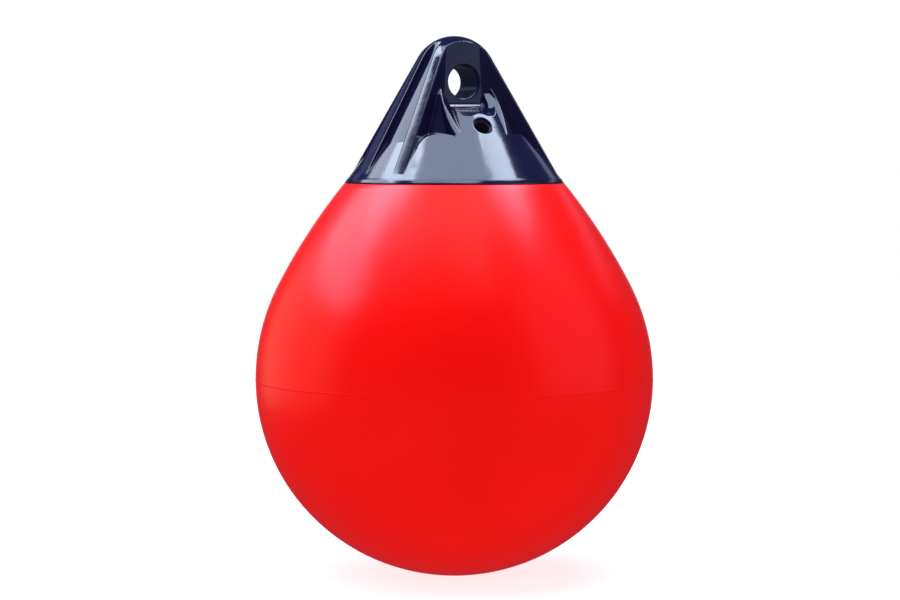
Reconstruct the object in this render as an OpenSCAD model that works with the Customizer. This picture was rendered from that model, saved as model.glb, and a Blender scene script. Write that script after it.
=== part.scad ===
// Inflatable round buoy: a hollow vinyl float, a ribbed rope-eye head seated on its neck,
// and the fluted screw that closes the air valve. Heights in the Hidden section count from
// the float's equator; the finished pieces stand with the unloaded waterline at zero.

/* [Float] */
// Diameter of the float at its equator
float_d = 368; // [340:1:400]
// Depth of the float below its equator
float_drop = 182.2; // [176:0.1:183.5]
// Radius of the float's side above the equator
upper_r = 191.4; // [188:0.2:200]
// Lean of the side where it runs into the shoulder, in degrees
upper_turn = 27.5; // [24:0.5:31]
// Radius of the long shoulder curve below the head
shoulder_r = 555; // [480:5:640]
// Thickness of the vinyl wall
wall = 3.2; // [2.4:0.1:5]
// Height of the neck above the shoulder's top edge
neck_h = 20; // [12:0.5:24]
// Width of the moulding seam round the equator
seam_w = 1.8; // [1:0.1:3]
// Height of the moulding seam above the side
seam_proud = 0.5; // [0.2:0.1:0.8]
// Depth to which the unloaded buoy sinks in water
draught = 62; // [40:1:90]

/* [Head] */
// Diameter of the head's foot, where it meets the shoulder
head_d = 202.9; // [188:0.1:225]
// Height of the ring at the foot of the head
ring_h = 4.4; // [3:0.2:6]
// Half angle of the ring's face, in degrees
ring_angle = 31; // [26:0.5:36]
// Step from the ring in to the skirt
ring_step = 0.5; // [0.3:0.1:1]
// Half angle of the skirt's cone, in degrees
skirt_angle = 37.4; // [36.5:0.1:38.5]
// Height of the plain foot between the ring and the ribs
foot_h = 4.4; // [3:0.2:7]
// Height of the dome's centre above the ring
dome_rise = 91.7; // [88:0.1:96]
// Radius of the dome at the top
dome_r = 39; // [36:0.5:42]
// Thickness of the skirt round the neck's top edge
head_wall = 9; // [6:0.5:14]
// Clearance between the neck and its socket
neck_gap = 0.3; // [0.1:0.05:0.6]

/* [Ribs] */
// Depth of the pockets between the ribs
rib_h = 4.8; // [3.6:0.1:6]
// Half angle of the side ribs, from their middle plane
side_rib_half = 8; // [6:0.5:10]
// Angle from the side rib's middle to the diagonal rib
pocket_end = 29.5; // [27:0.5:32]

/* [Rope eye] */
// Bore of the rope eye
eye_d = 30; // [24:0.5:33]
// Rounding of the eye's lips
eye_lip = 1.5; // [0.8:0.1:2.5]
// Height of the eye's axis below the dome's centre
eye_drop = 3.4; // [0:0.2:8]
// Thickness of the head between the two flat eye faces
eye_thick = 40; // [34:0.5:44]
// Width of each flat eye face, at the eye's axis
face_w = 37; // [35:0.5:42]
// Lean of the face's two sides, which come closer to each other towards the top, in degrees
face_lean = 3.3; // [0:0.1:5]
// Angle of the flanks that open outwards from the eye face, in degrees
flank_angle = 34.2; // [30:0.2:38]

/* [Channel under the eye] */
// Width of the rope channel under the eye
channel_w = 39; // [38.5:0.5:44]
// Radius of the channel's lower corners
channel_corner = 6; // [4:0.5:8]
// Fall of the channel's floor, in degrees
channel_fall = 14; // [8:0.5:18]
// Depth of the floor below the eye's axis, at the eye face
channel_drop = 23; // [20:0.5:26]
// Radius of the cove between the eye face and the floor
cove_r = 9.5; // [6:0.5:11]

/* [Horns beside the channel] */
// Distance between the two horns at their widest
horn_gap = 56.4; // [54:0.2:60]
// Distance between the low ends of the two horns
horn_low_gap = 45; // [40:0.5:48]
// Height of the horns' low ends above the ring
horn_rise = 39.6; // [36:0.2:44]
// Height of the horns
horn_h = 37; // [34:0.5:41]
// Share of the horns' height at which they are widest
horn_belly = 0.5; // [0.4:0.05:0.65]
// Radius of the bow of each horn, seen from above
horn_bow = 68; // [60:1:80]
// Thickness of each horn at its crest
horn_edge = 1; // [0.6:0.1:2]
// Slope of the wing inside each horn, in degrees
wing_slope = 49.5; // [46:0.5:52]
// Turn of the wing towards the channel, in degrees
wing_turn = 39; // [35:0.5:43]
// Turn of the groove's wall at the foot of the wing, in degrees
groove_turn = 8; // [4:0.5:12]
// Depth of the ledge at the foot of the scoop outside each horn
ledge_depth = 13; // [8:0.5:16]
// Height of the ledge's crown above the horns' low ends
crown_rise = 1.2; // [0.5:0.1:2]
// Radius of the ledge's crown
crown_r = 25; // [20:1:32]
// Distance between the crowns of the two ledges
crown_gap = 76; // [72:1:82]

/* [Valve] */
// Bore of the valve recess
valve_d = 17.4; // [15:0.2:20]
// Lift of the valve's axis above the horizontal, in degrees
valve_lift = 40; // [34:0.5:46]
// Height of the valve's mouth below the eye's axis
valve_drop = 40.2; // [38:0.2:43]
// Depth of the valve recess from the skirt
valve_depth = 20; // [16:0.5:24]
// Outer diameter of the boss round the valve
boss_d = 28.6; // [25:0.2:32]
// Clearance round the valve screw
screw_gap = 0.25; // [0.1:0.05:0.5]
// Depth of the valve screw's top edge below the skirt
screw_sink = 2; // [1.5:0.1:4]
// Thickness of the screw's side wall
screw_wall = 1.7; // [1.2:0.1:2.2]
// Width of the screw's top edge, outside the bevel
screw_rim = 0.4; // [0.3:0.1:0.8]
// Thickness of the screw's floor
screw_floor = 4; // [3:0.5:6]
// Radius of the grip flutes inside the screw
flute_r = 0.8; // [0.5:0.1:1]
// Number of grip flutes
flutes = 18; // [12:1:20]
// Width of the turning slot in the screw's floor
slot_w = 2.6; // [1.8:0.1:3.5]
// Depth of the turning slot
slot_depth = 2; // [1:0.1:2.5]

/* [Hidden] */
$fn = 96;
float_r = float_d / 2;
equator_z = float_drop - draught;
// Lower half: two arcs that meet tangent at 45 degrees
oval = (float_r - float_drop) / (2 - sqrt(2));
bilge_r = float_r - oval;
pole_r = bilge_r + oval * sqrt(2);
// Upper half: the side's arc runs tangent into the shoulder's arc
upper_cx = float_r - upper_r;
turn_r = upper_cx + upper_r * cos(upper_turn);
turn_z = upper_r * sin(upper_turn);
shoulder_cx = turn_r - shoulder_r * cos(upper_turn);
shoulder_cz = turn_z - shoulder_r * sin(upper_turn);
rim_r = head_d / 2;
rim_angle = acos((rim_r - shoulder_cx) / shoulder_r);
shoulder_z = shoulder_cz + shoulder_r * sin(rim_angle);
// Head: ring, skirt, and the cone of the rib crests, which is tangent to the dome
ring_top_z = shoulder_z + ring_h;
ring_top_r = rim_r - ring_h * tan(ring_angle);
skirt_base_r = ring_top_r - ring_step;
skirt_apex_z = ring_top_z + skirt_base_r / tan(skirt_angle);
function skirt_r(z) = skirt_base_r - (z - ring_top_z) * tan(skirt_angle);
foot_z = ring_top_z + foot_h;
foot_r = skirt_r(foot_z);
dome_z = ring_top_z + dome_rise;
dome_top = dome_z + dome_r;
crest_angle = atan(foot_r / (dome_z - foot_z)) - asin(dome_r / norm([foot_r, dome_z - foot_z]));
tangent_r = dome_r * cos(crest_angle);
tangent_z = dome_z + dome_r * sin(crest_angle);
neck_r = skirt_r(shoulder_z + neck_h) - head_wall - neck_gap;
// Pocket floors lie parallel to the crest cone and run out on the skirt
floor_inset = rib_h / cos(crest_angle);
floor_apex_z = foot_z + (foot_r - floor_inset) / tan(crest_angle);
runout_z = foot_z + floor_inset / (tan(skirt_angle) - tan(crest_angle));
eye_z = dome_z - eye_drop;
valve_z = eye_z - valve_drop;
// Horns: their crests lie on the skirt's cone, and bow outwards between a low end and a tip
function skirt_y(x, z) = sqrt(pow(skirt_r(z), 2) - x * x);
horn_low_z = ring_top_z + horn_rise;
horn_low_x = horn_low_gap / 2;
horn_low_y = skirt_y(horn_low_x, horn_low_z);
horn_mid_y = skirt_y(horn_gap / 2, horn_low_z + horn_belly * horn_h);
screw_r = valve_d / 2 - screw_gap;
screw_h = valve_depth - screw_sink;
// Reach of the cutters past the surfaces that they cut
over = 60;

// A slice of a disc, from height z0 to z1, on the outer side of the axis
module arc_slice(cx, cz, r, z0, z1) {
    intersection() {
        translate([cx, cz]) circle(r);
        translate([0, z0]) square([float_d, z1 - z0]);
    }
}

// Half section of the float, all round the outside or inset by the wall
module float_section(inset) {
    low_join = -(bilge_r - inset) * sin(45);
    high_join = (upper_r - inset) * sin(upper_turn);
    arc_slice(0, oval, pole_r - inset, inset - float_drop, low_join);
    arc_slice(oval, 0, bilge_r - inset, low_join, 0);
    arc_slice(upper_cx, 0, upper_r - inset, 0, high_join);
    arc_slice(shoulder_cx, shoulder_cz, shoulder_r - inset, high_join, shoulder_z - inset);
}

// Hollow float with its neck and the raised seam round the equator
module float_body() {
    color("#e8231a") translate([0, 0, equator_z]) rotate_extrude() difference() {
        union() {
            float_section(0);
            translate([0, shoulder_z - wall]) square([neck_r, neck_h + wall]);
            translate([float_r - wall / 2, -seam_w / 2]) square([wall / 2 + seam_proud, seam_w]);
        }
        float_section(wall);
        translate([0, shoulder_z - 2 * wall]) square([neck_r - wall, neck_h + wall]);
    }
}

// Ring, foot, crest cone and dome before anything is cut from them
module head_blank() {
    rotate_extrude() {
        polygon([
            [0, shoulder_z], [rim_r, shoulder_z], [ring_top_r, ring_top_z], [skirt_base_r, ring_top_z],
            [foot_r, foot_z], [tangent_r, tangent_z], [0, tangent_z]
        ]);
        intersection() {
            translate([0, dome_z]) circle(dome_r);
            translate([0, tangent_z]) square([dome_r, dome_r]);
        }
    }
}

// Everything outside the skirt's cone
module outside_skirt() {
    rotate_extrude() polygon([
        [skirt_base_r, ring_top_z], [0, skirt_apex_z], [0, dome_top + over],
        [rim_r + over, dome_top + over], [rim_r + over, ring_top_z]
    ]);
}

// Ledge round the skirt with a steep wall behind it, up to the height of the horns' tips
module ledge() {
    foot = horn_low_z - ledge_depth;
    wall_r = skirt_r(horn_low_z) - ledge_depth;
    tip_z = horn_low_z + horn_h;
    rotate_extrude() polygon([
        [rim_r + over, foot], [wall_r, foot], [wall_r, horn_low_z], [skirt_r(tip_z), tip_z],
        [rim_r + over, tip_z]
    ]);
}

// Round crown of the right-hand ledge's floor
module ledge_crown() {
    translate([crown_gap / 2, 0, horn_low_z + crown_rise - crown_r]) rotate([90, 0, 0])
        cylinder(r = crown_r, h = rim_r + over);
}

// Everything outside the pocket floors, where the ribs stand proud
module outside_pocket() {
    rotate_extrude() polygon([
        [foot_r, foot_z], [skirt_r(runout_z), runout_z], [0, floor_apex_z],
        [0, dome_top + over], [rim_r + over, dome_top + over], [rim_r + over, foot_z]
    ]);
}

// One pocket, between a side rib and the diagonal rib next to it
module pocket() {
    reach = rim_r + over;
    intersection() {
        linear_extrude(dome_top + over) polygon([
            [0, 0],
            [reach * cos(side_rib_half), -reach * sin(side_rib_half)],
            [reach * cos(pocket_end), -reach * sin(pocket_end)]
        ]);
        outside_pocket();
    }
}

// Half space on the eye's side of the right flank
module beside_flank() {
    reach = rim_r + over;
    translate([face_w / 2, -eye_thick / 2, eye_z]) rotate([0, -face_lean, 0]) rotate(-flank_angle)
        translate([-2 * reach, -2 * reach, -reach]) cube([4 * reach, 2 * reach, 2 * reach]);
}

// The space in front of one eye face, between its two flanks
module eye_tray() {
    reach = rim_r + over;
    intersection() {
        translate([-reach, -eye_thick / 2 - reach, 0]) cube([2 * reach, reach, dome_top + over]);
        beside_flank();
        mirror([1, 0, 0]) beside_flank();
    }
}

// Rope channel with round lower corners, falling outwards under the eye
module channel() {
    inner = channel_w / 2 - channel_corner;
    translate([0, -eye_thick / 2, eye_z - channel_drop]) rotate([90 + channel_fall, 0, 0])
        translate([0, 0, -over]) linear_extrude(rim_r + over) {
            translate([-channel_w / 2, channel_corner]) square([channel_w, over]);
            translate([-inner, 0]) square([2 * inner, 2 * channel_corner]);
            for (side = [-1, 1]) translate([side * inner, channel_corner]) circle(channel_corner);
        }
}

// Cove that rounds the foot of the eye face into the channel's floor
module eye_cove() {
    bed = cove_r * (1 / cos(channel_fall) - tan(channel_fall));
    sunk = 0.05;
    translate([0, -eye_thick / 2, eye_z - channel_drop]) rotate([90, 0, 90])
        translate([0, 0, -face_w / 2]) linear_extrude(face_w) difference() {
            translate([-cove_r * (1 - sin(channel_fall)), -cove_r]) square([2 * cove_r, cove_r + bed]);
            translate([sunk - cove_r, bed - sunk]) circle(cove_r);
        }
}

// Upright disc that bounds the right horn, on its inside or its outside
module horn_disc(r) {
    translate([horn_gap / 2 - horn_bow, -horn_mid_y, 0]) cylinder(r = r, h = dome_top + over);
}

// Groove inside the right horn: a sloping wing that falls from the crest to an upright wall
module horn_groove() {
    intersection() {
        translate([horn_low_x, -horn_low_y, horn_low_z]) rotate([wing_slope, 0, -wing_turn])
            translate([-2 * over, -2 * over, 0]) cube([4 * over, 4 * over, 2 * over]);
        translate([horn_low_x, -horn_low_y, 0]) rotate(groove_turn)
            translate([0, -over, 0]) cube([over, 3 * over, dome_top + over]);
        horn_disc(horn_bow);
    }
}

// Scoops outside the two horns
module horn_scoops() {
    difference() {
        ledge();
        ledge_crown();
        mirror([1, 0, 0]) ledge_crown();
        intersection() {
            horn_disc(horn_bow + horn_edge);
            mirror([1, 0, 0]) horn_disc(horn_bow + horn_edge);
        }
    }
}

// What is taken away in front of one eye face
module eye_recess() {
    difference() {
        intersection() {
            eye_tray();
            union() {
                outside_skirt();
                channel();
                horn_groove();
                mirror([1, 0, 0]) horn_groove();
                horn_scoops();
            }
        }
        eye_cove();
    }
}

// Places a shape on the valve's axis, with the skirt's surface at zero
module on_valve_axis() {
    translate([0, -skirt_r(valve_z), valve_z]) rotate([90 - valve_lift, 0, 0]) children();
}

// Boss round the valve, flush with the skirt
module valve_boss() {
    intersection() {
        on_valve_axis() translate([0, 0, -valve_depth - wall]) cylinder(d = boss_d, h = 2 * valve_depth);
        rotate_extrude() polygon([[0, ring_top_z], [skirt_base_r, ring_top_z], [0, skirt_apex_z]]);
    }
}

// Bore of the rope eye with both lips rounded
module eye_bore() {
    eye_r = eye_d / 2;
    translate([0, 0, eye_z]) rotate([90, 0, 0]) {
        cylinder(d = eye_d, h = 2 * over, center = true);
        for (side = [0, 1]) mirror([0, 0, side]) translate([0, 0, eye_thick / 2 - eye_lip])
            rotate_extrude() difference() {
                square([eye_r + eye_lip, 2 * eye_lip]);
                translate([eye_r + eye_lip, 0]) circle(eye_lip);
            }
    }
}

// Rope-eye head: ribs, pockets, eye faces, horns and valve boss
module rope_head() {
    color("#1c2350") translate([0, 0, equator_z]) difference() {
        union() {
            difference() {
                head_blank();
                for (x = [0, 1], y = [0, 1]) mirror([x, 0, 0]) mirror([0, y, 0]) pocket();
                for (y = [0, 1]) mirror([0, y, 0]) eye_recess();
            }
            valve_boss();
        }
        eye_bore();
        on_valve_axis() translate([0, 0, -valve_depth]) cylinder(d = valve_d, h = 2 * valve_depth);
        translate([0, 0, shoulder_z - over]) cylinder(r = neck_r + neck_gap, h = neck_h + over);
    }
}

// Valve screw: a cup with grip flutes inside and a turning slot in its floor
module valve_screw() {
    cup_r = screw_r - screw_wall;
    color("#2a1f2c") translate([0, 0, equator_z]) on_valve_axis() translate([0, 0, -valve_depth])
        difference() {
            cylinder(r = screw_r, h = screw_h);
            translate([0, 0, screw_floor]) cylinder(r = cup_r, h = screw_h);
            translate([0, 0, screw_h - screw_wall])
                cylinder(r1 = cup_r, r2 = screw_r - screw_rim, h = screw_wall);
            translate([0, 0, screw_floor]) linear_extrude(screw_h - screw_floor - screw_wall)
                for (i = [0 : flutes - 1]) rotate(360 * i / flutes) translate([cup_r, 0]) circle(flute_r);
            translate([-cup_r, -slot_w / 2, screw_floor - slot_depth]) cube([2 * cup_r, slot_w, screw_h]);
        }
}

float_body();
rope_head();
valve_screw();
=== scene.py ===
"""Looks of the inflatable round buoy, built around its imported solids.

Lengths are in metres, apart from the half section of the float, which is in millimetres.
"""
import math

import bpy
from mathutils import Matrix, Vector


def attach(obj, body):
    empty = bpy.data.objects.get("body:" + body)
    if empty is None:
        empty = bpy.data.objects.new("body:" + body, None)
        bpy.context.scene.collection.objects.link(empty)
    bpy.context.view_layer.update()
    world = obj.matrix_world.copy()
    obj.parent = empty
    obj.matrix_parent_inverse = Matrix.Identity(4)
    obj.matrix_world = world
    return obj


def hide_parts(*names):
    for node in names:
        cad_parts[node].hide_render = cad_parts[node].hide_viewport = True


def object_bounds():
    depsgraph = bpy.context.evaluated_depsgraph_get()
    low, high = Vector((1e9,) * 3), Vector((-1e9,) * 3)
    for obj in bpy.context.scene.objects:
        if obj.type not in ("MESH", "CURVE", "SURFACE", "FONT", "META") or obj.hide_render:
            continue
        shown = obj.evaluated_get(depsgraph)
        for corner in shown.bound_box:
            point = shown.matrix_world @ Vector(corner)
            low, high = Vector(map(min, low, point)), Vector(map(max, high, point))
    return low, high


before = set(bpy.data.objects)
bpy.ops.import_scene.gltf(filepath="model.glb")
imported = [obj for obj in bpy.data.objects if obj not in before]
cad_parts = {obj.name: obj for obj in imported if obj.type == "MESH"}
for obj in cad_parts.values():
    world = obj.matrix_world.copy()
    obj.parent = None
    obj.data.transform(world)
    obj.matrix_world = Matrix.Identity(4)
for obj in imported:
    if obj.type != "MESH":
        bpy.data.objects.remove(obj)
cad_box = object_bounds()

MM = 0.001

# Half section of the float, in millimetres and degrees
FLOAT_R = 184
FLOAT_DROP = 182.2  # from the equator down to the lower pole
EQUATOR_Z = cad_box[0].z / MM + FLOAT_DROP
UPPER_R, UPPER_TURN = 191.4, 27.5  # round arc above the equator, and the angle at which it ends
SHOULDER_R = 555  # flatter arc from there up to the rim under the head
RIM_R = 101.45
RIM_BEVEL, RIM_BEVEL_TURN = 0.4, 0.1  # taken off the rim's top, and off the end of the shoulder's arc
NECK_R, NECK_H = 77.08, 20
SEAM_HALF, SEAM_PROUD = 0.8, 0.24
SEAM_FOOT = 0.4  # narrow rings beside the seam, which keep its shading from spreading

# Mesh of the float
POLE_STEPS, BILGE_STEPS, SEAM_STEPS, UPPER_STEPS, SHOULDER_STEPS = 24, 22, 6, 16, 20
SPIN_STEPS = 256
MERGE_DISTANCE = 0.01 * MM
SMOOTH_ANGLE = math.radians(40)

# View
VIEW_AZIMUTH = math.radians(-25)
VIEW_DISTANCE = 2.515
CAMERA_HEIGHT = 0.345
AIM_HEIGHT = 0.193
AXIS_SHIFT = 0.00398  # how far the buoy's axis stands right of the picture's middle
SENSOR_W = 36  # in millimetres, as the lens is
IMAGE_W = 900
PIXEL = 0.9246 * MM  # what one pixel shows at the buoy's axis

# Studio
LIGHT_CENTRE = Vector((0, 0, 0.3))  # the soft boxes face this point
FLOOR_SIZE = 8
FLOOR_TONE = "#9c9c9c"
FLOOR_GLOW = 0.78  # near the buoy, where the floor keeps its shadow
GLOW_NEAR, GLOW_FAR = 0.25, 0.9  # between these distances from the axis the glow rises to full white
FLOOR_FILL, FLOOR_FILL_TONE = 1.1, "#ffa080"  # light that the floor sends up to the buoy
ROOM_TONE = "#3a3e4c"
BACKDROP_TONE = "#ffffff"
BACKDROP_HALF, BACKDROP_EDGE = math.radians(8), math.radians(8)  # its mirrored half width and soft edge


def linear(hex_colour):
    """An sRGB hex colour as a linear RGBA tuple, by the sRGB curve."""
    channels = [int(hex_colour[i:i + 2], 16) / 255 for i in (1, 3, 5)]
    return (*(c / 12.92 if c <= 0.04045 else ((c + 0.055) / 1.055) ** 2.4 for c in channels), 1.0)


def add_node(tree, kind, settings=None, inputs=None):
    """Adds one node: settings are its properties, inputs are values or output sockets to link."""
    node = tree.nodes.new(kind)
    for name, value in (settings or {}).items():
        setattr(node, name, value)
    for name, value in (inputs or {}).items():
        if isinstance(value, bpy.types.NodeSocket):
            tree.links.new(value, node.inputs[name])
        else:
            node.inputs[name].default_value = value
    return node


def new_material(name):
    """A node material without nodes, and its tree to fill."""
    material = bpy.data.materials.new(name)
    material.use_nodes = True
    tree = material.node_tree
    tree.nodes.clear()
    return material, tree


def deselect_all():
    bpy.ops.object.select_all(action="DESELECT")


# Materials

def rotomoulded_red_vinyl():
    """Soft PVC cast in a turning, blasted mould: a full even red, a broad satin gloss and a faint peel."""
    cloud_size = 90 * MM
    peel_size = 2.2 * MM  # the real peel is finer than a pixel, so it is drawn coarser to show
    material, tree = new_material("rotomoulded_red_vinyl")
    place = add_node(tree, "ShaderNodeTexCoord").outputs["Object"]
    cloud = add_node(tree, "ShaderNodeTexNoise", None, {
        "Vector": place, "Scale": 1 / cloud_size, "Detail": 1})
    tone = add_node(tree, "ShaderNodeMixRGB", None, {
        "Fac": cloud.outputs["Fac"], "Color1": linear("#e00a03"), "Color2": linear("#e90d05")})
    peel = add_node(tree, "ShaderNodeTexNoise", None, {
        "Vector": place, "Scale": 1 / peel_size, "Detail": 2})
    bump = add_node(tree, "ShaderNodeBump", None, {
        "Height": peel.outputs["Fac"], "Strength": 0.12, "Distance": 0.1 * MM})
    satin = add_node(tree, "ShaderNodeMapRange", None, {
        "Value": cloud.outputs["Fac"], "To Min": 0.28, "To Max": 0.31})
    shader = add_node(tree, "ShaderNodeBsdfPrincipled", None, {
        "Base Color": tone.outputs["Color"], "Roughness": satin.outputs["Result"], "IOR": 1.53,
        "Specular IOR Level": 0.4, "Specular Tint": linear("#ffd7ed"), "Normal": bump.outputs["Normal"]})
    add_node(tree, "ShaderNodeOutputMaterial", None, {"Surface": shader.outputs["BSDF"]})
    return material


def moulded_navy_vinyl():
    """PVC injection-moulded in a polished tool: a near-black navy, high gloss and soft edges."""
    flow_size = 25 * MM
    edge_radius = 2.2 * MM
    material, tree = new_material("moulded_navy_vinyl")
    place = add_node(tree, "ShaderNodeTexCoord").outputs["Object"]
    flow = add_node(tree, "ShaderNodeTexNoise", None, {
        "Vector": place, "Scale": 1 / flow_size, "Detail": 3})
    tone = add_node(tree, "ShaderNodeValToRGB", None, {"Fac": flow.outputs["Fac"]})
    tone.color_ramp.elements[0].position = 0.3
    tone.color_ramp.elements[0].color = linear("#0c0b2a")
    tone.color_ramp.elements[1].position = 0.7
    tone.color_ramp.elements[1].color = linear("#111031")
    gloss = add_node(tree, "ShaderNodeMapRange", None, {
        "Value": flow.outputs["Fac"], "To Min": 0.1, "To Max": 0.15})
    edges = add_node(tree, "ShaderNodeBevel", {"samples": 16}, {"Radius": edge_radius})
    sink = add_node(tree, "ShaderNodeBump", None, {
        "Height": flow.outputs["Fac"], "Strength": 0.6, "Distance": 0.2 * MM,
        "Normal": edges.outputs["Normal"]})
    shader = add_node(tree, "ShaderNodeBsdfPrincipled", None, {
        "Base Color": tone.outputs["Color"], "Roughness": gloss.outputs["Result"], "IOR": 1.53,
        "Specular IOR Level": 0.75, "Normal": sink.outputs["Normal"]})
    add_node(tree, "ShaderNodeOutputMaterial", None, {"Surface": shader.outputs["BSDF"]})
    return material


def moulded_dark_nylon():
    """Moulded nylon of the valve screw: blue-black with a dull gloss."""
    grain_size = 1.5 * MM  # the real grain is finer than a pixel, so it is drawn coarser to show
    material, tree = new_material("moulded_dark_nylon")
    place = add_node(tree, "ShaderNodeTexCoord").outputs["Object"]
    grain = add_node(tree, "ShaderNodeTexNoise", None, {
        "Vector": place, "Scale": 1 / grain_size, "Detail": 2})
    tone = add_node(tree, "ShaderNodeValToRGB", None, {"Fac": grain.outputs["Fac"]})
    tone.color_ramp.elements[0].color = linear("#181428")
    tone.color_ramp.elements[1].color = linear("#2e283c")
    dullness = add_node(tree, "ShaderNodeMapRange", None, {
        "Value": grain.outputs["Fac"], "To Min": 0.4, "To Max": 0.55})
    bump = add_node(tree, "ShaderNodeBump", None, {
        "Height": grain.outputs["Fac"], "Strength": 0.2, "Distance": 0.1 * MM})
    shader = add_node(tree, "ShaderNodeBsdfPrincipled", None, {
        "Base Color": tone.outputs["Color"], "Roughness": dullness.outputs["Result"], "IOR": 1.53,
        "Specular IOR Level": 0.3, "Normal": bump.outputs["Normal"]})
    add_node(tree, "ShaderNodeOutputMaterial", None, {"Surface": shader.outputs["BSDF"]})
    return material


RED_VINYL = rotomoulded_red_vinyl()
NAVY_VINYL = moulded_navy_vinyl()
DARK_NYLON = moulded_dark_nylon()


# Pieces

def wear(piece, material):
    """Gives a piece its one material."""
    piece.data.materials.clear()
    piece.data.materials.append(material)


def hand_in(piece, node, material):
    """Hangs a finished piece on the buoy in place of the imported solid."""
    wear(piece, material)
    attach(piece, "root")
    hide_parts(node)


def arc(cx, cz, radius, start, end, steps):
    """Points of an arc in the half section, from the equator's middle; angles rise from the horizontal."""
    turns = [math.radians(start + (end - start) * i / steps) for i in range(steps + 1)]
    return [(cx + radius * math.cos(t), cz + radius * math.sin(t)) for t in turns]


def float_profile():
    """Half section of the float, from above its lower pole to the top of the neck."""
    # Two arcs meet smoothly at 45 degrees: the bilge up to the equator and a flatter one at the pole
    oval = (FLOAT_R - FLOAT_DROP) / (2 - math.sqrt(2))
    bilge_r = FLOAT_R - oval
    pole_r = bilge_r + oval * math.sqrt(2)
    upper_cx = FLOAT_R - UPPER_R
    turn = math.radians(UPPER_TURN)
    shoulder_cx = upper_cx + (UPPER_R - SHOULDER_R) * math.cos(turn)
    shoulder_cz = (UPPER_R - SHOULDER_R) * math.sin(turn)
    rim_turn = math.degrees(math.acos((RIM_R - shoulder_cx) / SHOULDER_R))
    rim_z = shoulder_cz + SHOULDER_R * math.sin(math.radians(rim_turn))
    shoulder_end = rim_turn - RIM_BEVEL_TURN
    seam_low = math.degrees((SEAM_HALF + SEAM_FOOT) / bilge_r)
    seam_high = math.degrees((SEAM_HALF + SEAM_FOOT) / UPPER_R)
    seam_r = (SEAM_HALF ** 2 + SEAM_PROUD ** 2) / (2 * SEAM_PROUD)
    seam_turn = math.degrees(math.asin(SEAM_HALF / seam_r))
    seam_cx = FLOAT_R + SEAM_PROUD - seam_r
    points = arc(0, oval, pole_r, -90, -45, POLE_STEPS)[1:]
    points += arc(oval, 0, bilge_r, -45, -seam_low, BILGE_STEPS)[1:]
    points += arc(seam_cx, 0, seam_r, -seam_turn, seam_turn, SEAM_STEPS)
    points += arc(upper_cx, 0, UPPER_R, seam_high, UPPER_TURN, UPPER_STEPS)
    points += arc(shoulder_cx, shoulder_cz, SHOULDER_R, UPPER_TURN, shoulder_end, SHOULDER_STEPS)[1:]
    points += [(RIM_R - RIM_BEVEL, rim_z), (NECK_R, rim_z), (NECK_R, rim_z + NECK_H)]
    return points


def add_float():
    """The float, spun from its half section round the buoy's axis."""
    deselect_all()
    bpy.ops.mesh.primitive_plane_add(size=MM, location=(0, 0, 0))
    piece = bpy.context.object
    piece.name = "float_skin"
    bpy.ops.object.mode_set(mode="EDIT")
    bpy.ops.mesh.select_all(action="SELECT")
    bpy.ops.mesh.merge(type="CENTER")
    place = Vector((0, 0, (EQUATOR_Z - FLOAT_DROP) * MM))
    bpy.ops.transform.translate(value=place)
    for radius, height in float_profile():
        target = Vector((radius * MM, 0, (EQUATOR_Z + height) * MM))
        bpy.ops.mesh.extrude_region_move(TRANSFORM_OT_translate={"value": target - place})
        place = target
    bpy.ops.mesh.extrude_region_move(TRANSFORM_OT_translate={"value": (-place.x, 0, 0)})
    bpy.ops.mesh.select_all(action="SELECT")
    bpy.ops.mesh.spin(steps=SPIN_STEPS, angle=math.tau, center=(0, 0, 0), axis=(0, 0, 1))
    bpy.ops.mesh.select_all(action="SELECT")
    bpy.ops.mesh.remove_doubles(threshold=MERGE_DISTANCE)
    bpy.ops.mesh.normals_make_consistent(inside=False)
    bpy.ops.object.mode_set(mode="OBJECT")
    bpy.ops.object.shade_smooth_by_angle(angle=SMOOTH_ANGLE)
    hand_in(piece, "float_body", RED_VINYL)
    return piece


float_skin = add_float()
rope_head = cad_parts["rope_head"]
valve_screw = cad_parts["valve_screw"]
wear(rope_head, NAVY_VINYL)
wear(valve_screw, DARK_NYLON)


# Scene

def add_camera():
    """A long lens at the height of the head, aimed just left of the buoy's axis."""
    away = Vector((math.sin(VIEW_AZIMUTH), -math.cos(VIEW_AZIMUTH), 0))
    right = Vector((math.cos(VIEW_AZIMUTH), math.sin(VIEW_AZIMUTH), 0))
    place = VIEW_DISTANCE * away + Vector((0, 0, CAMERA_HEIGHT))
    aim = Vector((0, 0, AIM_HEIGHT)) - AXIS_SHIFT * right
    bpy.ops.object.camera_add(location=place, rotation=(aim - place).to_track_quat("-Z", "Y").to_euler())
    camera = bpy.context.object
    camera.data.sensor_width = SENSOR_W
    camera.data.lens = SENSOR_W * (VIEW_DISTANCE / PIXEL) / IMAGE_W
    bpy.context.scene.camera = camera


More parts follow.
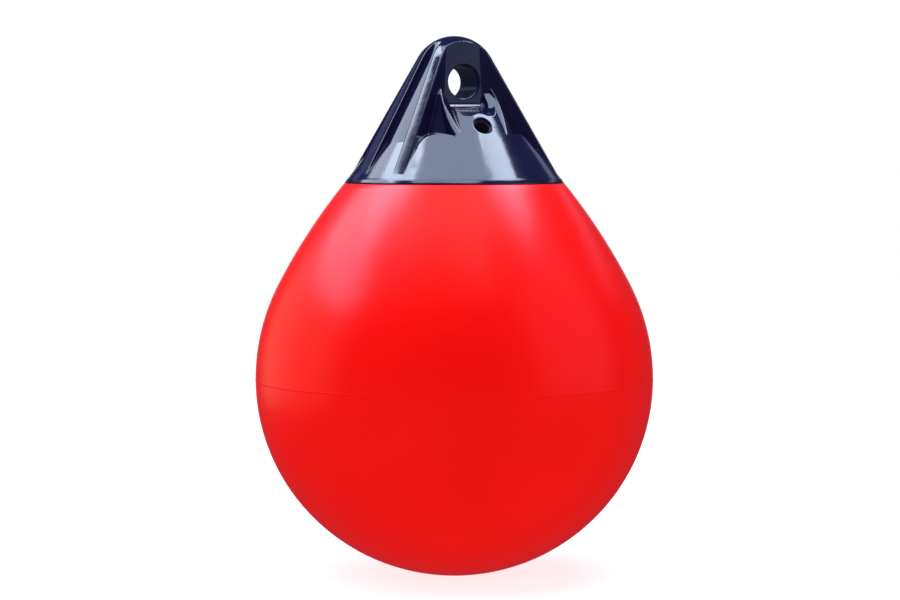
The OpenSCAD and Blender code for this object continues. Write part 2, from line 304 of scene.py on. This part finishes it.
def add_floor():
    """A pale floor under the buoy: white to the camera but for the shadow, warm light to the buoy."""
    deselect_all()
    bpy.ops.mesh.primitive_plane_add(size=FLOOR_SIZE, location=(0, 0, cad_box[0].z))
    floor = bpy.context.object
    floor.name = "floor"
    material, tree = new_material("pale_studio_floor")
    path = add_node(tree, "ShaderNodeLightPath")
    place = add_node(tree, "ShaderNodeTexCoord").outputs["Object"]
    reach = add_node(tree, "ShaderNodeVectorMath", {"operation": "LENGTH"}, {0: place})
    bright = add_node(tree, "ShaderNodeMapRange", None, {
        "Value": reach.outputs["Value"], "From Min": GLOW_NEAR, "From Max": GLOW_FAR,
        "To Min": FLOOR_GLOW, "To Max": 1.0})
    glow = add_node(tree, "ShaderNodeEmission", None, {"Strength": bright.outputs["Result"]})
    cloth = add_node(tree, "ShaderNodeBsdfDiffuse", None, {"Color": linear(FLOOR_TONE)})
    lit = add_node(tree, "ShaderNodeAddShader", None, {0: cloth.outputs["BSDF"], 1: glow.outputs["Emission"]})
    fill = add_node(tree, "ShaderNodeEmission", None, {
        "Color": linear(FLOOR_FILL_TONE), "Strength": FLOOR_FILL})
    shown = add_node(tree, "ShaderNodeMixShader", None, {
        "Fac": path.outputs["Is Camera Ray"], 1: fill.outputs["Emission"], 2: lit.outputs["Shader"]})
    add_node(tree, "ShaderNodeOutputMaterial", None, {"Surface": shown.outputs["Shader"]})
    floor.data.materials.append(material)
    floor.visible_glossy = False


def add_world():
    """A white backdrop, seen by the camera and mirrored straight behind the buoy, in a dim room."""
    world = bpy.data.worlds.new("studio")
    world.use_nodes = True
    tree = world.node_tree
    tree.nodes.clear()
    path = add_node(tree, "ShaderNodeLightPath")
    way = add_node(tree, "ShaderNodeTexCoord").outputs["Generated"]
    behind = (-math.sin(VIEW_AZIMUTH), math.cos(VIEW_AZIMUTH), 0)
    facing = add_node(tree, "ShaderNodeVectorMath", {"operation": "DOT_PRODUCT"}, {0: way, 1: behind})
    backdrop = add_node(tree, "ShaderNodeMapRange", None, {
        "Value": facing.outputs["Value"], "From Min": math.cos(BACKDROP_HALF + BACKDROP_EDGE),
        "From Max": math.cos(BACKDROP_HALF)})
    mirrored = add_node(tree, "ShaderNodeMath", {"operation": "MULTIPLY"}, {
        0: path.outputs["Is Glossy Ray"], 1: backdrop.outputs["Result"]})
    direct = add_node(tree, "ShaderNodeMath", {"operation": "MAXIMUM"}, {
        0: path.outputs["Is Camera Ray"], 1: path.outputs["Is Transmission Ray"]})
    seen = add_node(tree, "ShaderNodeMath", {"operation": "MAXIMUM"}, {
        0: direct.outputs["Value"], 1: mirrored.outputs["Value"]})
    tone = add_node(tree, "ShaderNodeMixRGB", None, {
        "Fac": seen.outputs["Value"], "Color1": linear(ROOM_TONE), "Color2": linear(BACKDROP_TONE)})
    glow = add_node(tree, "ShaderNodeBackground", None, {"Color": tone.outputs["Color"]})
    add_node(tree, "ShaderNodeOutputWorld", None, {"Surface": glow.outputs["Background"]})
    bpy.context.scene.world = world


def flag_off(lamp, pieces):
    """Keeps a soft box off some pieces, as a black flag in the studio does."""
    flagged = bpy.data.collections.new(lamp.name + "_flag")
    for piece in pieces:
        flagged.objects.link(piece)
    for member in flagged.collection_objects:
        member.light_linking.link_state = "EXCLUDE"
    lamp.light_linking.receiver_collection = flagged


def add_soft_box(name, azimuth, elevation, distance, size, strength, colour, mirrored, flagged):
    """A soft box that faces the buoy. Its power is its strength times pi times its area.

    One that isn't mirrored only fills, and the gloss doesn't show it.
    """
    turn = VIEW_AZIMUTH + math.radians(azimuth)
    rise = math.radians(elevation)
    way = Vector((math.sin(turn) * math.cos(rise), -math.cos(turn) * math.cos(rise), math.sin(rise)))
    bpy.ops.object.light_add(type="AREA", location=LIGHT_CENTRE + distance * way,
                             rotation=way.to_track_quat("Z", "Y").to_euler())
    lamp = bpy.context.object
    lamp.name = name
    lamp.data.shape = "RECTANGLE"
    lamp.data.size, lamp.data.size_y = size
    lamp.data.energy = strength * math.pi * size[0] * size[1]
    lamp.data.color = linear(colour)[:3]
    lamp.visible_glossy = mirrored
    lamp.data.cycles.use_multiple_importance_sampling = mirrored
    if flagged:
        flag_off(lamp, flagged)


HEAD_PIECES = (rope_head, valve_screw)
FLOAT_PIECES = (float_skin,)
NO_PIECES = ()
MIRRORED, FILL_ONLY = True, False

# Name, azimuth from the camera's side and elevation in degrees, distance, width and height, strength,
# colour, whether the gloss shows it, and the pieces that it is kept off
SOFT_BOXES = (
    ("left_top", -102, 55, 1.6, (0.79, 0.63), 9.5, "#dae8ff", MIRRORED, NO_PIECES),
    ("left_middle", -100, 35, 1.7, (1.5, 0.55), 4, "#dcebff", MIRRORED, NO_PIECES),
    ("left_low", -100, 5, 1.8, (2.6, 1.2), 1.8, "#f2f6ff", FILL_ONLY, NO_PIECES),
    ("left_sheen", -104, 3, 1.8, (2.4, 1.2), 0.65, "#ffe8c8", MIRRORED, HEAD_PIECES),
    ("front_fill", 5, 15, 3.2, (4, 3), 1.8, "#ffffff", FILL_ONLY, NO_PIECES),
    ("right_low", 100, 5, 1.8, (2.6, 1.2), 1.1, "#f2f6ff", FILL_ONLY, NO_PIECES),
    ("right_top", 100, 59.5, 1.6, (0.81, 0.53), 9.5, "#dae8ff", MIRRORED, NO_PIECES),
    ("right_side", 72, 15, 1.8, (1.7, 1.7), 0.45, "#d4e6ff", MIRRORED, NO_PIECES),
    ("overhead_head", -15, 77, 1.5, (1.5, 1.15), 4, "#d4e6ff", MIRRORED, FLOAT_PIECES),
    ("overhead_float", -15, 77, 1.6, (1.6, 1.23), 1.7, "#fff0e0", MIRRORED, HEAD_PIECES),
    ("top_fill", 0, 88, 1.6, (1.2, 1.2), 2.7, "#ffffff", FILL_ONLY, NO_PIECES),
    ("back_left", -138, 21, 2.2, (1.3, 0.25), 0.3, "#a8bcff", MIRRORED, NO_PIECES),
    ("back_right", 138, 21, 2.2, (1.3, 0.25), 0.6, "#c8d6ff", MIRRORED, NO_PIECES),
)

add_camera()
add_floor()
add_world()
for soft_box in SOFT_BOXES:
    add_soft_box(*soft_box)
bpy.context.scene.view_settings.view_transform = "Standard"
